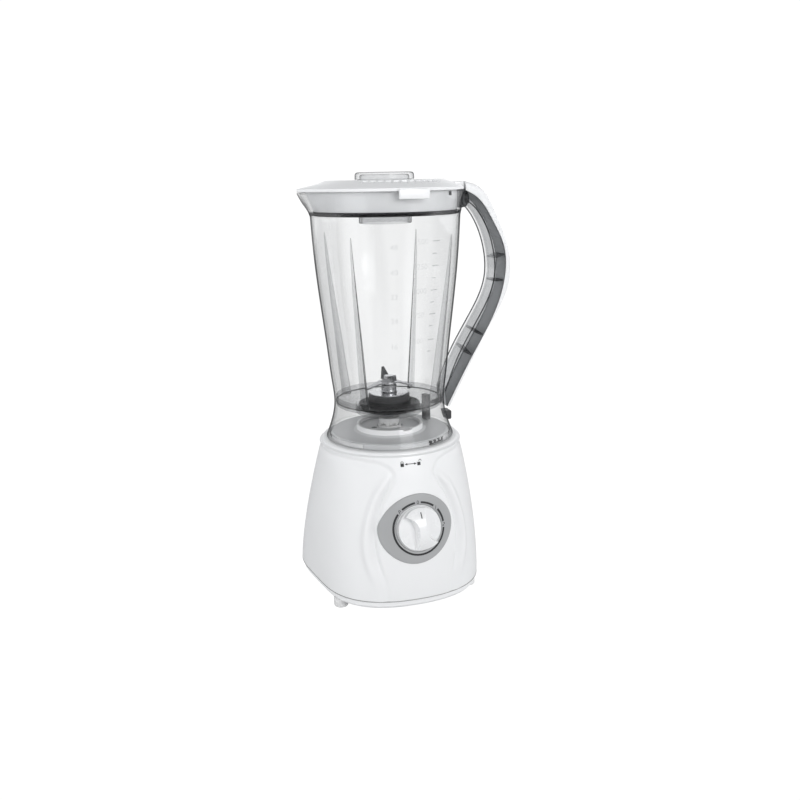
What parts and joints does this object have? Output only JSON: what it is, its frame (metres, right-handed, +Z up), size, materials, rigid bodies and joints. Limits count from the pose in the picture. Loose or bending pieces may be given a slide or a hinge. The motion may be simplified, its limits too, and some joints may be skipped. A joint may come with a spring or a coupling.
{
  "type": "countertop blender",
  "caption": "Clear ribbed blender jar with curved handle, spout, vented lid and measuring cap on a white tapered motor base with a rotary knob.",
  "frame": {"origin": "on the table, under the drive axis of motor and blades", "axes": "+Z up along the drive axis; -Y is the front with the control knob; +X the jar's handle, -X its spout"},
  "size_m": [0.2028, 0.1945, 0.3916],
  "materials": {
    "white_shell": "satin moulded ABS",
    "white_plate": "fine-textured ABS",
    "knob_white": "smooth ABS",
    "bezel_grey": "satin grey",
    "deck_grey": "moulded ABS",
    "clear_jar": "clear SAN plastic",
    "clear_cap": "translucent plastic",
    "dark_plastic": "black nylon",
    "coupling_white": "acetal",
    "foot_rubber": "light rubber",
    "seal_rubber": "dark silicone",
    "blade_steel": "ground stainless",
    "unit_steel": "stainless",
    "plain_steel": "zinc-plated steel",
    "lamination": "varnished lamination steel",
    "copper_wire": "enamelled copper wire",
    "bracket_alloy": "die-cast",
    "bronze": "sintered bronze",
    "carbon": "carbon",
    "terminal_plastic": "nylon"
  },
  "bodies": {
    "base": {"base_housing": "white_shell", "base_plate": "white_plate", "rubber_feet": "foot_rubber", "plate_screws": "plain_steel", "top_deck": "deck_grey", "lock_catch": "dark_plastic", "control_bezel": "bezel_grey", "rotary_switch": "dark_plastic", "motor_stator": "lamination", "field_windings": "copper_wire", "lower_bracket": "bracket_alloy", "upper_bracket": "bracket_alloy", "lower_bearing": "plain_steel", "upper_bearing": "plain_steel", "tie_bolts": "plain_steel", "tie_nuts": "plain_steel", "motor_dampers": "seal_rubber", "mount_screws": "plain_steel", "brush_holders": "dark_plastic", "carbon_brushes": "carbon", "interlock_switch": "dark_plastic", "terminal_block": "terminal_plastic", "thermal_cutout": "terminal_plastic", "cord_gland": "seal_rubber"},
    "control": {"knob": "knob_white", "knob_shaft": "plain_steel"},
    "plunger": {"interlock_plunger": "coupling_white"},
    "rotor": {"motor_shaft": "plain_steel", "armature_core": "lamination", "armature_windings": "copper_wire", "commutator": "copper_wire", "cooling_fan": "dark_plastic", "drive_coupling": "coupling_white"},
    "jar": {"jar_vessel": "clear_jar", "handle_cover": "white_shell", "lock_tab": "dark_plastic", "interlock_finger": "dark_plastic", "blade_carrier": "dark_plastic", "carrier_gasket": "seal_rubber", "carrier_cap": "unit_steel", "lower_bush": "bronze", "upper_bush": "bronze", "shaft_seal": "seal_rubber"},
    "blades": {"blade_shaft": "unit_steel", "upper_blade": "blade_steel", "lower_blade": "blade_steel", "blade_spacer": "unit_steel", "blade_washer": "unit_steel", "blade_nut": "unit_steel", "shaft_clip": "unit_steel", "driven_coupling": "coupling_white"},
    "lid": {"lid_shell": "white_shell", "lid_gasket": "seal_rubber"},
    "cap": {"measuring_cap": "clear_cap"}
  },
  "joints": [
    {"name": "jar_lift", "type": "slide", "parent": "base", "child": "jar", "axis": [0, 0, 1], "range_m": [0, 0.06]},
    {"name": "lid_lift", "type": "slide", "parent": "jar", "child": "lid", "axis": [0, 0, 1], "range_m": [0, 0.06]},
    {"name": "cap_lift", "type": "slide", "parent": "lid", "child": "cap", "axis": [0, 0, 1], "range_m": [0, 0.06]},
    {"name": "knob_turn", "type": "hinge", "parent": "base", "child": "control", "pos_m": [0, -0.0793, 0.083], "axis": [0, 0.9848, -0.1736], "range_deg": [-45, 90]},
    {"name": "rotor_spin", "type": "hinge", "parent": "base", "child": "rotor", "pos_m": [0, 0, 0.078], "axis": [0, 0, 1], "continuous": true},
    {"name": "blade_spin", "type": "hinge", "parent": "jar", "child": "blades", "pos_m": [0, 0, 0.19], "axis": [0, 0, 1], "continuous": true},
    {"name": "interlock_press", "type": "slide", "parent": "base", "child": "plunger", "axis": [0, 0, -1], "range_m": [0, 0.0025], "stiffness_N_per_m": 400}
  ],
  "couplings": [
    {"joint": "blade_spin", "follows": "rotor_spin", "ratio": 1}
  ]
}
